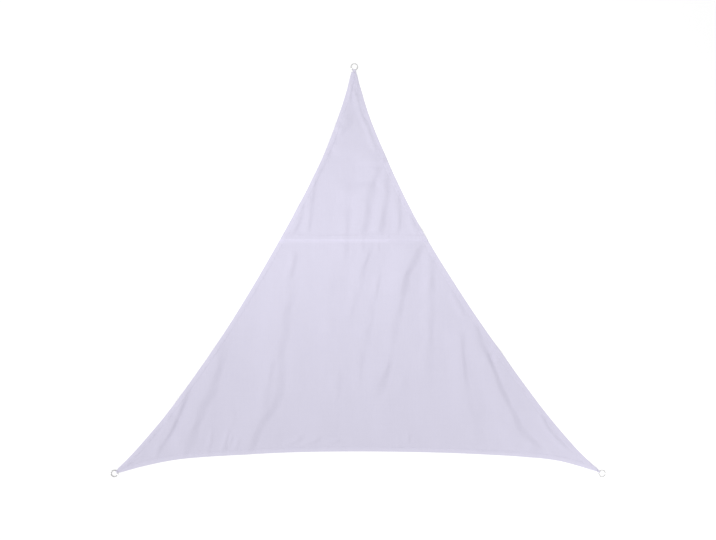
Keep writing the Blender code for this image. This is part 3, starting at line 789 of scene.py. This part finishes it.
# How much paler the cloth is where its layers lie on each other: 1 is one layer more. The per-edge values
# and the right-end shade below also hold painted highlight and painted shade.
HEM_PALE_AND_HIGHLIGHT = (1.0, 1.5, 1.2)  # the left, bottom and right hems; the bottom and right ones also carry a painted highlight
HEM_PAINTED_SHADE, HEM_SHADE_FROM, HEM_SHADE_OVER = 0.5, 0.9, 0.3  # painted shade that makes the bottom hem less pale near its right end
# A painted highlight on the strip of the lower panel just below the lap's edge
UNDER_LAP_HIGHLIGHT = 2.4
UNDER_LAP_HIGHLIGHT_WIDTH = 0.018  # width of that painted highlight below the lap
HIGHLIGHT_LOSS, HIGHLIGHT_LOSS_FROM, HIGHLIGHT_LOSS_OVER = 0.6, 0.16, 0.08  # from this x to the right the seam's painted highlight weakens
# Painted shade along the rows of stitches of the bottom edge: how much, and where, as x and share
ROW_PAINTED_SHADE = 1.6
ROW_SHADE = (
    (0.10, 0.2), (0.40, 0.2), (0.45, 0.0), (0.64, 0.0), (0.78, 1.0), (0.93, 1.0), (1.02, 0.3),
    (1.20, 0.2),
)
BOTTOM = 1  # the bottom edge's place in EDGES


def in_hem(spots):
    """How much paler the hem's layers make it, with a painted highlight on the bottom and right hems and
    painted shade near the bottom hem's right end.
    """
    hem_shade = HEM_PAINTED_SHADE * ease((spots.points[:, 0] - HEM_SHADE_FROM) / HEM_SHADE_OVER) * (spots.edge == BOTTOM)
    return (np.array(HEM_PALE_AND_HIGHLIGHT)[spots.edge] - hem_shade) * hemmed(spots.inside)


def seam_highlight(x):
    """Share of the seam's painted highlight: full on the left, weaker towards the right."""
    return 1 - HIGHLIGHT_LOSS * ease((x - HIGHLIGHT_LOSS_FROM) / HIGHLIGHT_LOSS_OVER)


def lower_layers_and_painted_light(spots):
    """The hem, a painted highlight on the strip below the lap, and painted shade along the bottom hem's
    rows of stitches.
    """
    x, y = spots.points.T
    below_lap = 1 - ease((SEAM_LOW - y) / UNDER_LAP_HIGHLIGHT_WIDTH)
    row = 1 - ease(np.abs(spots.inside - sum(ROWS) / 2) / (ROWS[1] - ROWS[0]))
    shaded = row * np.interp(x, *zip(*ROW_SHADE)) * (spots.edge == BOTTOM)
    return in_hem(spots) + UNDER_LAP_HIGHLIGHT * below_lap * seam_highlight(x) - ROW_PAINTED_SHADE * shaded


lower_cloth = add_cloth(
    "lower_cloth",
    lower_outline,
    lines=[row_across(SEAM_LOW - down) for down in UNDER_LINES],
    keep=lambda points: points[:, 1] < SEAM_LOW - UNDER_CLEAR,
    lift=lambda points: 0 * points[:, 0],
    relief=lower_thin,
    layers=lower_layers_and_painted_light,
    material=POLYESTER,
    node="lower_panel",
)


# ---- Upper panel -------------------------------------------------------------------------
# The top of the sail, in the same cloth. Its lower edge is turned under and laps over the
# lower panel, where two rows of stitches hold them together.

LAP_TURN = 0.010  # width that is turned under at the lap's lower edge
LAP_RIDGE = 0.0005  # the turned part stands proud by this, with its fold rounded off
LAP_ROUND = 0.0020
LAP_CLEAR = 0.004  # it stays raised this far past the lower panel's hidden edge
LAP_FALL = 0.008  # and then comes down to the ground over this
LAP_PUCKER, LAP_PUCKER_SIZE = 0.0035, (0.035, 0.060)
LAP_ROWS = (SEAM_LOW + 0.0060, SEAM_HIGH - 0.0045)  # the two rows of stitches
LAP_GROOVE = 0.4 * GROOVE
OVER_CLEAR = 0.0005  # the net's points stay this far above the lap's lower edge

LAP_PALE, LAP_FADE = 0.4, 0.004  # two layers look paler, up to this far past the lap
TURNED_PALE_AND_HIGHLIGHT = 2.6  # the turned edge's extra layers, plus a painted highlight along it
# Painted shade along the second row of stitches, where it draws the cloth in: how much, and where, as x
# and share
SEAM_PAINTED_SHADE = 1.3
SEAM_SHADE = (
    (-0.38, 0.2), (-0.27, 0.3), (-0.22, 1.0), (-0.10, 1.0), (0.00, 0.8), (0.06, 0.3),
    (0.14, 0.1), (0.29, 0.2), (0.315, 1.0), (0.39, 1.0),
)
SHADE_HALF = 0.008

# The net's rows of points across the lap
LAP_LINES = (
    SEAM_LOW + 0.0008, SEAM_LOW + LAP_ROUND, SEAM_LOW + LAP_TURN, SEAM_LOW + LAP_TURN + HEM_STEP,
    SEAM_HIGH, SEAM_HIGH + SHADE_HALF / 2, SEAM_HIGH + SHADE_HALF,
    *(row + side * GROOVE_HALF for row in LAP_ROWS for side in (-1, 0, 1)),
)

CREASES += (
    Crease(0.012, 0.055, 0.046, (
        (0.196, 0.65), (0.188, 0.59, 0.5), (0.18, 0.53, 0.65), (0.18, 0.457, 0.8), (0.164, 0.383, 0.9),
        (0.156, 0.31, 0.9), (0.144, 0.24, 0.8), (0.136, 0.19),
    )),
    Crease(0.012, 0.1, 0.052, (
        (0.16, 0.69), (0.146, 0.65, 0.3), (0.128, 0.605, 0.7), (0.09, 0.53, 0.7), (0.068, 0.457, 0.95),
        (0.064, 0.383, 1), (0.054, 0.31, 0.9), (0.038, 0.24, 0.8), (0.032, 0.18),
    )),
    Crease(0.009, 0.05, 0.03, (
        (-0.215, 0.68), (-0.234, 0.605, 0.6), (-0.264, 0.53, 0.6), (-0.272, 0.457, 0.65),
        (-0.286, 0.383, 0.9), (-0.29, 0.31, 1), (-0.298, 0.24, 0.6), (-0.303, 0.19),
    )),
    Crease(0.009, 0.04, 0.03, (
        (-0.33, 0.45), (-0.337, 0.383, 0.8), (-0.352, 0.31, 1), (-0.387, 0.236, 1), (-0.41, 0.18),
    )),
    Crease(0.008, 0.05, 0.03, (
        (0.24, 0.5), (0.252, 0.45, 0.8), (0.256, 0.383, 0.8), (0.257, 0.31, 1), (0.246, 0.236, 0.6),
        (0.242, 0.18),
    )),
    Crease(0.006, 0.036, 0.024, ((0.322, 0.365), (0.337, 0.31, 0.9), (0.372, 0.236, 1), (0.384, 0.2))),
    # across it, a crest and below it the far side of a dent
    Crease(0.009, 0.1, 0.05, (
        (0.2, 0.668), (0.14, 0.652, 1), (0.08, 0.65, 1), (0.02, 0.655, 0.6), (-0.03, 0.665),
    )),
    Crease(0.012, 0.12, 0.064, (
        (-0.14, 0.51), (-0.09, 0.508, 0.5), (-0.03, 0.512, 1), (0.03, 0.522, 1), (0.08, 0.54, 0.5),
        (0.11, 0.555),
    )),
    Crease(0.005, 0.1, 0.06, ((-0.022, 0.56), (-0.05, 0.5, 0.7), (-0.06, 0.44, 1), (-0.08, 0.37))),
    # in the tip, and along its right edge
    Crease(0.005, 0.02, 0.014, (
        (-0.018, 1.235), (-0.035, 1.17, 1), (-0.041, 1.122, 0.9), (-0.048, 1.048, 0.8), (-0.052, 1),
    )),
    Crease(0.012, 0.05, 0.05, (
        (-0.022, 1.03), (-0.054, 0.9, 0.9), (-0.112, 0.826, 1), (-0.164, 0.752, 0.7), (-0.2, 0.68, 0.5),
        (-0.228, 0.61, 0.45), (-0.25, 0.56),
    )),
    Crease(0.006, 0.03, 0.02, (
        (-0.012, 1.15), (-0.006, 1.1, 0.8), (0.004, 1.048, 1), (0.016, 0.974, 0.8), (0.056, 0.9, 1),
        (0.087, 0.826, 0.9), (0.108, 0.77, 0.7), (0.132, 0.715),
    )),
    Crease(0.004, 0.09, 0.07, ((-0.03, 0.98), (-0.055, 0.86, 0.6), (-0.1, 0.7))),
    Crease(0.009, 0.05, 0.19, (
        (-0.02, 1), (-0.02, 0.93, 0.4), (-0.02, 0.85, 0.9), (-0.02, 0.77, 1), (-0.025, 0.73, 0.8),
        (-0.03, 0.68),
    )),
)


def turned_under(y):
    """1 where the lap's edge is turned under, and 0 above that."""
    return 1 - ease((y - SEAM_LOW - LAP_TURN) / HEM_STEP)


def lap_lift(points):
    """The upper panel lies on the lower one here, a little puckered between the rows."""
    y = points[:, 1]
    over = 1 - ease((y - SEAM_HIGH - LAP_CLEAR) / LAP_FALL)
    pucker = (0.1 + waves(points, *LAP_PUCKER_SIZE, layer=6.4)).clip(0)
    drawn = ease((y - SEAM_LOW - LAP_TURN) / LAP_TURN) * LAP_PUCKER * pucker
    return (CLOTH + GAP + drawn) * over


def lap_relief(spots):
    """The turned edge's ridge and rounded fold, and the grooves of the lap's two rows."""
    y = spots.points[:, 1]
    ridge = LAP_RIDGE * turned_under(y) * rounded((y - SEAM_LOW) / LAP_ROUND)
    return ridge - LAP_GROOVE * grooves(y, LAP_ROWS)


def upper_layers_and_painted_light(spots):
    """The hem, the lap, its turned edge with a painted highlight, and painted shade along its second row.
    """
    x, y = spots.points.T
    lap = LAP_PALE * (1 - ease((y - SEAM_HIGH) / LAP_FADE))
    turned = TURNED_PALE_AND_HIGHLIGHT * turned_under(y) * seam_highlight(x)
    shaded = np.interp(x, *zip(*SEAM_SHADE)) * (1 - ease(np.abs(y - SEAM_HIGH) / SHADE_HALF))
    return in_hem(spots) + lap + turned - SEAM_PAINTED_SHADE * shaded


upper_outline = np.vstack([
    cut(LEFT_EDGE, SEAM_LOW, True)[:-1],
    row_across(SEAM_LOW)[:-1],
    cut(RIGHT_EDGE, SEAM_LOW, True),
])
upper_cloth = add_cloth(
    "upper_cloth",
    upper_outline,
    lines=[row_across(y) for y in LAP_LINES],
    keep=lambda points: points[:, 1] > SEAM_LOW + OVER_CLEAR,
    lift=lap_lift,
    relief=lap_relief,
    layers=upper_layers_and_painted_light,
    material=POLYESTER,
    node="upper_panel",
)


# ---- Hem and seam stitching --------------------------------------------------------------
# Twin rows of lock stitches hold the hem down all round, and two rows join the panels.
# Polyester thread, a shade lighter than the cloth.

STITCH_PITCH, STITCH_LENGTH = 0.0045, 0.0037  # from stitch to stitch, and the part that shows
THREAD = 0.00030  # radius
UNEVENNESS = 0.10  # how far a stitch may lie askew, in radians
GUIDE_STEP = 0.0015  # between the points that lead a row of stitches
SEAM_SHORT = 3  # how many of those steps the seam's rows stop short of the edges
THREAD_COLOR = (0.70, 0.68, 0.80)


def thread_look():
    """Spun thread with a faint sheen."""
    look = Look("polyester_thread", THREAD_COLOR, Roughness=0.6, Sheen_Weight=0.2)
    strands = look.cloud(look.place(), 3 * (2 * THREAD,), detail=1.0)
    look.tint(0.90 + 0.20 * strands)
    look.relief(0.10 * strands)
    return look.material


THREAD_LOOK = thread_look()


def stitch_tree():
    """A row of stitches: at each step along a path, one short arch of thread."""
    tree = bpy.data.node_groups.new("stitch_row", "GeometryNodeTree")
    sockets = (
        ("Path", "INPUT", "Geometry"), ("Pitch", "INPUT", "Float"), ("Length", "INPUT", "Float"),
        ("Thread", "INPUT", "Float"), ("Unevenness", "INPUT", "Float"), ("Seed", "INPUT", "Int"),
        ("Finish", "INPUT", "Material"), ("Stitches", "OUTPUT", "Geometry"),
    )
    for name, way, kind in sockets:
        tree.interface.new_socket(name, in_out=way, socket_type="NodeSocket" + kind)

    def node(kind, settings=None, **links):
        """Adds a node. A socket goes by its name, or by its number as in _0."""
        made = tree.nodes.new(kind)
        for name, value in (settings or {}).items():
            setattr(made, name, value)
        for name, value in links.items():
            socket = made.inputs[int(name[1:]) if name[1:].isdigit() else name.replace("_", " ")]
            if isinstance(value, bpy.types.Node):
                value = value.outputs[0]  # a node stands for its first output
            if isinstance(value, bpy.types.NodeSocket):
                tree.links.new(value, socket)
            else:
                socket.default_value = value
        return made

    def times(socket, factor):
        return node("ShaderNodeMath", {"operation": "MULTIPLY"}, _0=socket, _1=factor)

    def aligned(pivot, **links):
        settings = {"axis": "X", "pivot_axis": pivot}
        return node("FunctionNodeAlignRotationToVector", settings, Vector=tangent, **links)

    given = node("NodeGroupInput").outputs
    path = node("GeometryNodeMeshToCurve", Mesh=given["Path"])
    steps = node("GeometryNodeResampleCurve", {"mode": "LENGTH"}, Curve=path, Length=given["Pitch"])
    low = times(given["Thread"], -1.0)
    arch = node(
        "GeometryNodeCurveQuadraticBezier", Resolution=3,
        Start=node("ShaderNodeCombineXYZ", X=times(given["Length"], -0.5), Z=low),
        Middle=node("ShaderNodeCombineXYZ", Z=times(given["Thread"], 3.0)),
        End=node("ShaderNodeCombineXYZ", X=times(given["Length"], 0.5), Z=low),
    )
    strand = node("GeometryNodeCurvePrimitiveCircle", Resolution=5, Radius=given["Thread"])
    stitch = node("GeometryNodeCurveToMesh", Curve=arch, Profile_Curve=strand, Fill_Caps=True)
    tangent = node("GeometryNodeInputTangent")
    along_path = aligned("Y", Rotation=aligned("Z"))
    askew = node(
        "FunctionNodeRandomValue", {"data_type": "FLOAT"}, _2=times(given["Unevenness"], -1.0),
        _3=given["Unevenness"], Seed=given["Seed"],
    ).outputs[1]
    turn = node("FunctionNodeEulerToRotation", Euler=node("ShaderNodeCombineXYZ", Z=askew))
    turned = node(
        "FunctionNodeRotateRotation", {"rotation_space": "LOCAL"},
        Rotation=along_path, Rotate_By=turn,
    )
    placed = node("GeometryNodeInstanceOnPoints", Points=steps, Instance=stitch, Rotation=turned)
    real = node("GeometryNodeRealizeInstances", Geometry=placed)
    finished = node("GeometryNodeSetMaterial", Geometry=real, Material=given["Finish"])
    node("NodeGroupOutput", Stitches=finished)
    return tree


STITCH_TREE = stitch_tree()


def add_stitches(name, paths, seed, pitch=STITCH_PITCH, length=STITCH_LENGTH, slot="sail_cloth"):
    """Rows of stitches along 3-D paths, made by the node tree and then kept as a mesh."""
    mesh = bpy.data.meshes.new(name + "_paths")
    starts = np.cumsum([0] + [len(path) for path in paths])
    sides = [(i, i + 1) for a, b in zip(starts, starts[1:]) for i in range(a, b - 1)]
    mesh.from_pydata(np.vstack(paths), sides, [])
    guide = in_scene(name + "_paths", mesh)
    modifier = guide.modifiers.new("stitches", "NODES")
    modifier.node_group = STITCH_TREE
    values = {
        "Pitch": pitch, "Length": length, "Thread": THREAD, "Unevenness": UNEVENNESS, "Seed": seed,
        "Finish": THREAD_LOOK,
    }
    for item in STITCH_TREE.interface.items_tree:
        if item.in_out == "INPUT" and item.name in values:
            modifier[item.identifier] = values[item.name]
    seen = guide.evaluated_get(bpy.context.evaluated_depsgraph_get())
    made = bpy.data.meshes.new_from_object(seen)
    made.name = name
    guide.modifiers.remove(modifier)
    bpy.data.objects.remove(guide)
    return add_piece(name, made, THREAD_LOOK, slot)


def on_top(points):
    """The height of the sail's upper surface, whichever panel is on top there."""
    spots = locate(points)
    upper = points[:, 1] > SEAM_LOW
    bare = underside(spots) + thickness(spots)
    return bare + np.where(upper, lap_lift(points) + lap_relief(spots), lower_thin(spots))


def sewn(path):
    """A flat path laid on the sail, with the thread half sunk in."""
    return np.column_stack([path, on_top(path) + THREAD / 2])


hem_rows = []
for line in EDGES:
    for inset in ROWS:
        row = spaced(beside(line, inset), GUIDE_STEP)
        hem_rows.append(sewn(row[locate(row).inside > inset - STRAY]))
hem_stitches = add_stitches("hem_stitches", hem_rows, seed=11)

seam_rows = [sewn(row_across(y, GUIDE_STEP)[SEAM_SHORT:-SEAM_SHORT]) for y in LAP_ROWS]
seam_stitches = add_stitches("seam_stitches", seam_rows, seed=23)


# ---- Webbing loops -----------------------------------------------------------------------
# In each corner a strip of woven tape, folded round the ring and sewn under the cloth's tip.
# It is gathered where it passes through the ring.

RING_RADIUS = 0.020  # to the middle of the wire
WIRE_RADIUS = 0.0025
LOOP_RADIUS = WIRE_RADIUS + GAP + WEBBING / 2  # middle of the tape, round the wire
WIRE_HIGH = LOOP_RADIUS + WEBBING / 2
RING_TILT = math.asin((WIRE_HIGH - WIRE_RADIUS) / (2 * RING_RADIUS))
RING_HIGH = (WIRE_HIGH + WIRE_RADIUS) / 2
TAPE = 0.0012  # thickness of the tape itself, inside the loop's 1.5 mm
RIBS = 7  # raised cords along the tape
RIB_HIGH = 0.00022
DROP = 0.010  # length over which the upper leg comes down onto the lower one
TAPE_COLOR = (0.66, 0.64, 0.75)


def tape_look():
    """Woven tape: a fine herringbone across its ribs, with a little fuzz."""
    look = Look("woven_tape", TAPE_COLOR, Roughness=0.75, Sheen_Weight=0.15)
    place = look.place("tape")
    x, y, _ = look.parts(place)
    twill_step = 0.0016  # from line to line
    chevron = (x.size() + y) * (2 * math.pi / twill_step)
    twill = 0.5 + 0.5 * chevron.sine()
    fuzz = look.cloud(place, (0.0008, 0.0020, 1.0), detail=2.0) - 0.5
    look.tint(0.93 + 0.09 * twill + 0.12 * fuzz)
    look.relief(0.12 * twill + 0.08 * fuzz)
    return look.material


TAPE_LOOK = tape_look()


def webbing_route(lateral):
    """Along and up, from one sewn end under the ring's wire and back over it."""
    wire = math.sqrt(RING_RADIUS**2 - lateral**2) * math.cos(RING_TILT)
    reach = WIRE_RADIUS * RING_RADIUS / wire + GAP + WEBBING / 2
    low = WEBBING / 2
    high = low + WEBBING + GAP
    lower_leg, bend, coming_down, upper_leg = 31, 25, 13, 27  # points along each part
    for share in np.linspace(0, 1, lower_leg):
        yield WEBBING_END + (wire - WEBBING_END) * share, low
    for turn in np.linspace(0, math.pi, bend)[1:]:
        yield wire - reach * math.sin(turn), WIRE_HIGH - LOOP_RADIUS * math.cos(turn)
    for share in np.linspace(0, 1, coming_down)[1:]:
        fall = (1 + math.cos(math.pi * share)) / 2
        yield wire + DROP * share, high + (WIRE_HIGH + LOOP_RADIUS - high) * fall
    for share in np.linspace(0, 1, upper_leg)[1:]:
        yield wire + DROP + (WEBBING_END - wire - DROP) * share, high


def mesh_of(bm, name):
    """Turns a bmesh into a mesh and frees it."""
    mesh = bpy.data.meshes.new(name)
    bm.to_mesh(mesh)
    bm.free()
    return mesh


def add_loop(corner):
    """One folded tape, and the length that it was cut to."""
    across = 8 * RIBS  # faces across the tape
    routes = [list(webbing_route(corner.neck / 2 * (2 * k / across - 1))) for k in range(across + 1)]
    steps = len(routes[0])
    run = np.linalg.norm(np.diff(routes[across // 2], axis=0), axis=1).cumsum()
    bm = bmesh.new()
    bmesh.ops.create_grid(bm, x_segments=steps - 1, y_segments=across, size=0.5)
    uv = bm.loops.layers.uv.new("tape")
    for vert in bm.verts:
        station = round((vert.co.x + 0.5) * (steps - 1))
        column = round((vert.co.y + 0.5) * across)
        side = 2 * column / across - 1
        along, up = routes[column][station]
        spread = float(ease((along - TIP) / (WEBBING_END - TIP)))
        lateral = side * (corner.neck + (WEBBING_WIDTH - corner.neck) * spread) / 2
        vert.co = (*at_corner(corner, along, lateral), up)
        v = run[station - 1] if station else 0.0
        for loop in vert.link_loops:
            loop[uv].uv = (side * WEBBING_WIDTH / 2, v)
    bmesh.ops.recalc_face_normals(bm, faces=bm.faces)
    middle = min(bm.faces, key=lambda face: face.calc_center_median().z)
    if middle.normal.z > 0:
        bmesh.ops.reverse_faces(bm, faces=bm.faces)
    bm.normal_update()
    ribs = {}
    for vert in bm.verts:
        side = vert.link_loops[0][uv].uv.x / (WEBBING_WIDTH / 2)
        ribs[vert] = abs(math.sin(side * RIBS * math.pi / 2))
    for vert, rib in ribs.items():
        vert.co += vert.normal * (rib - 0.5) * RIB_HIGH
    name = "loop_" + corner.name
    obj = add_piece(name, mesh_of(bm, name), TAPE_LOOK, "webbing", "webbing_" + corner.name)
    solid = obj.modifiers.new("thickness", "SOLIDIFY")
    solid.thickness = TAPE
    solid.offset = 0.0
    return obj, run[-1]


for corner in CORNERS:
    loop, length = add_loop(corner)


# ---- Corner stitching --------------------------------------------------------------------
# A box with a cross in it holds each tip of cloth to its webbing, and a bar of tight
# stitches closes the loop behind the ring.

BOX_NEAR, BOX_FAR = 0.042, 0.092  # from the ring's centre
BOX_HALF = 0.0075  # at the ring's end no more than a share of the tip's width
TIP_SHARE = 0.38
BAR_BACK, BAR_WIDTH, BAR_TURNS = 0.004, 0.003, 18  # a zigzag between the box and the ring
TIGHT_PITCH, TIGHT_LENGTH, TIGHT_STEP = 0.0032, 0.0029, 0.0008


def corner_path(corner, points):
    """Points given along and to the left of the way into the corner, laid on the sail."""
    flat = np.array([at_corner(corner, along, off) for along, off in points])
    return sewn(spaced(flat, TIGHT_STEP))


corner_rows = []
for corner in CORNERS:
    half = min(BOX_HALF, corner.tip_width * TIP_SHARE)
    box = [(BOX_NEAR, -half), (BOX_FAR, -BOX_HALF), (BOX_FAR, BOX_HALF), (BOX_NEAR, half)]
    for a, b in zip(box, [*box[1:], box[0]]):
        corner_rows.append(corner_path(corner, [a, b]))
    corner_rows += [corner_path(corner, [box[0], box[2]]), corner_path(corner, [box[1], box[3]])]
    bar = [
        (BOX_NEAR - BAR_BACK - BAR_WIDTH * (step % 2), half * (2 * step / BAR_TURNS - 1))
        for step in range(BAR_TURNS + 1)
    ]
    corner_rows += [corner_path(corner, pair) for pair in zip(bar, bar[1:])]
add_stitches("corner_stitches", corner_rows, 31, TIGHT_PITCH, TIGHT_LENGTH, "webbing")


# ---- Rings -------------------------------------------------------------------------------
# A round ring of drawn stainless wire in each corner, butt-welded and tumbled smooth, so
# that the weld shows as a slight swelling. Each lies tilted on its webbing.

STEEL_COLOR = (0.60, 0.60, 0.60)
WELD_TURN = 0.16  # half the weld's length, as an angle round the ring
WELD_SWELL = 0.10  # how much thicker the wire is there
WELD_RIPPLE, RIPPLES = 0.2, 60  # the swelling is a little uneven


def steel_look():
    """Drawn wire: fine lines along it, and a matt, faintly tinted weld."""
    look = Look("drawn_steel", STEEL_COLOR, Metallic=1.0, Roughness=0.24)
    place = look.place("wire")
    lines = look.cloud(place, (0.020, 0.00035, 1.0)) - 0.5
    spots = look.cloud(place, (0.006, 0.006, 1.0), detail=2.0) - 0.5
    weld = look.attribute("weld")
    # Painted light: each ring's own constant makes its steel brighter or darker.
    painted_light = look.attribute("painted_light")
    look.tint(painted_light * (1.0 + 0.30 * lines + 0.25 * spots - 0.25 * weld))
    look.plug(look.shader.inputs["Roughness"], 0.24 + 0.18 * lines + 0.20 * weld)
    look.relief(0.02 * lines + 0.02 * spots)
    return look.material


STEEL = steel_look()


def add_ring(corner, weld_at, painted_light):
    """One ring, with its weld at an angle and painted light that makes its steel brighter or darker."""
    ring, _, left = corner_frame(corner)
    around, sides = 144, 20  # faces round the ring and round the wire
    bm = bmesh.new()
    uv = bm.loops.layers.uv.new("wire")
    weld = bm.verts.layers.float.new("weld")
    painted_light_layer = bm.verts.layers.float.new("painted_light")
    rows = []
    for i in range(around):
        turn = 2 * math.pi * i / around
        off = abs((turn - weld_at + math.pi) % (2 * math.pi) - math.pi)
        bead = float(1 - ease(off / WELD_TURN))
        ripple = 1 - WELD_RIPPLE + WELD_RIPPLE * math.sin(turn * RIPPLES)
        wire = WIRE_RADIUS * (1 + WELD_SWELL * bead * ripple)
        row = []
        for j in range(sides):
            tip = 2 * math.pi * j / sides
            out = RING_RADIUS + wire * math.cos(tip)
            vert = bm.verts.new((out * math.cos(turn), out * math.sin(turn), wire * math.sin(tip)))
            vert[weld] = bead
            vert[painted_light_layer] = painted_light
            row.append(vert)
        rows.append(row)
    for i in range(around):
        for j in range(sides):
            a, b = rows[i], rows[(i + 1) % around]
            k = (j + 1) % sides
            face = bm.faces.new((a[j], b[j], b[k], a[k]))
            for loop, (di, dj) in zip(face.loops, ((0, 0), (1, 0), (1, 1), (0, 1))):
                length = 2 * math.pi * RING_RADIUS * (i + di) / around
                girth = 2 * math.pi * WIRE_RADIUS * (j + dj) / sides
                loop[uv].uv = (length, girth)
    lean = Matrix.Rotation(-RING_TILT, 4, Vector((*left, 0.0)))
    bmesh.ops.transform(bm, matrix=Matrix.Translation((*ring, RING_HIGH)) @ lean, verts=bm.verts)
    for vert in bm.verts:
        vert.co.z = max(vert.co.z, 0.0)
    name = "steel_" + corner.name
    add_piece(name, mesh_of(bm, name), STEEL, "ring_steel", "ring_" + corner.name)


# Painted light makes the left ring darker and the other two brighter.
add_ring(TOP, weld_at=0.6, painted_light=1.05)
add_ring(LEFT, weld_at=2.4, painted_light=0.88)
add_ring(RIGHT, weld_at=-0.7, painted_light=1.08)


# ---- The sheets' flat sizes --------------------------------------------------------------
# Each panel's finished outline, laid flat. The lower one's area also counts one hem width of
# the cloth that is turned under along its bottom edge.


def flat_size(outline):
    """Width and length of a panel, and its area."""
    x, y = outline.T
    area = abs(x @ np.roll(y, -1) - y @ np.roll(x, -1)) / 2
    return (float(np.ptp(x)), float(np.ptp(y))), float(area)


lower_flat, lower_area = flat_size(lower_outline)
bottom_length = np.linalg.norm(np.diff(BOTTOM_EDGE, axis=0), axis=1).sum()
lower_area += float(HEM_WIDTH * bottom_length)
upper_flat, upper_area = flat_size(upper_outline)


# ---- Floor, light and camera -------------------------------------------------------------
# A plain white studio floor, even light from all round, a soft lamp from the left, three
# small ones close above the sail, and a camera straight above it.

PIXEL = 0.006153  # size on the floor of one of the picture's pixels
PICTURE_WIDTH = 716  # in pixels
VIEW_MIDDLE = (-0.0007, 0.0012)
WHITE = (1.0, 1.0, 1.0, 1.0)
FLOOR_HALF, FLOOR_LOW = 40.0, 0.0004  # half its width, and how far it lies below the sail
SKY_STRENGTH = 0.768


def floor_look():
    """Matt white paint."""
    look = Look(
        "white_floor", (0.97, 0.97, 0.97), Roughness=0.9, Specular_IOR_Level=0.1,
        Emission_Color=WHITE, Emission_Strength=0.08,
    )
    look.tint(0.995 + 0.01 * look.cloud(look.place(), (0.8, 0.8, 0.8), detail=2.0))
    return look.material


bm = bmesh.new()
bmesh.ops.create_grid(bm, x_segments=4, y_segments=4, size=FLOOR_HALF)
bmesh.ops.translate(bm, vec=(0, 0, -FLOOR_LOW), verts=bm.verts)
floor = in_scene("floor", mesh_of(bm, "floor"))
floor.data.materials.append(floor_look())

world = bpy.data.worlds.new("studio")
world.use_nodes = True
sky = world.node_tree.nodes["Background"].inputs
sky["Color"].default_value = WHITE
sky["Strength"].default_value = SKY_STRENGTH
bpy.context.scene.world = world


def add_lamp(name, place, aim, size, power):
    """A round soft lamp that the camera doesn't see."""
    light = bpy.data.lights.new(name, "AREA")
    light.shape = "DISK"
    light.size = size
    light.energy = power
    obj = in_scene(name, light)
    obj.location = place
    obj.rotation_euler = (Vector(aim) - Vector(place)).to_track_quat("-Z", "Y").to_euler()
    obj.visible_camera = False


add_lamp("key", place=(-12.0, -3.0, 13.0), aim=(0.0, 0.0, 0.0), size=4.0, power=900.0)
add_lamp("middle", place=(0.4, 0.4, 1.6), aim=(0.4, 0.4, 0.0), size=0.8, power=4.15)
add_lamp("right", place=(1.62, -1.5, 1.0), aim=(1.62, -1.5, 0.0), size=0.6, power=2.0)
add_lamp("left", place=(-0.6, 0.2, 0.9), aim=(-0.6, 0.2, 0.0), size=0.5, power=0.87)

lens = bpy.data.cameras.new("camera")
lens.lens = 50.0
lens.sensor_width = 36.0
camera = in_scene("camera", lens)
camera.location = (*VIEW_MIDDLE, PICTURE_WIDTH * PIXEL * lens.lens / lens.sensor_width)
bpy.context.scene.camera = camera
bpy.context.scene.view_settings.view_transform = "Standard"
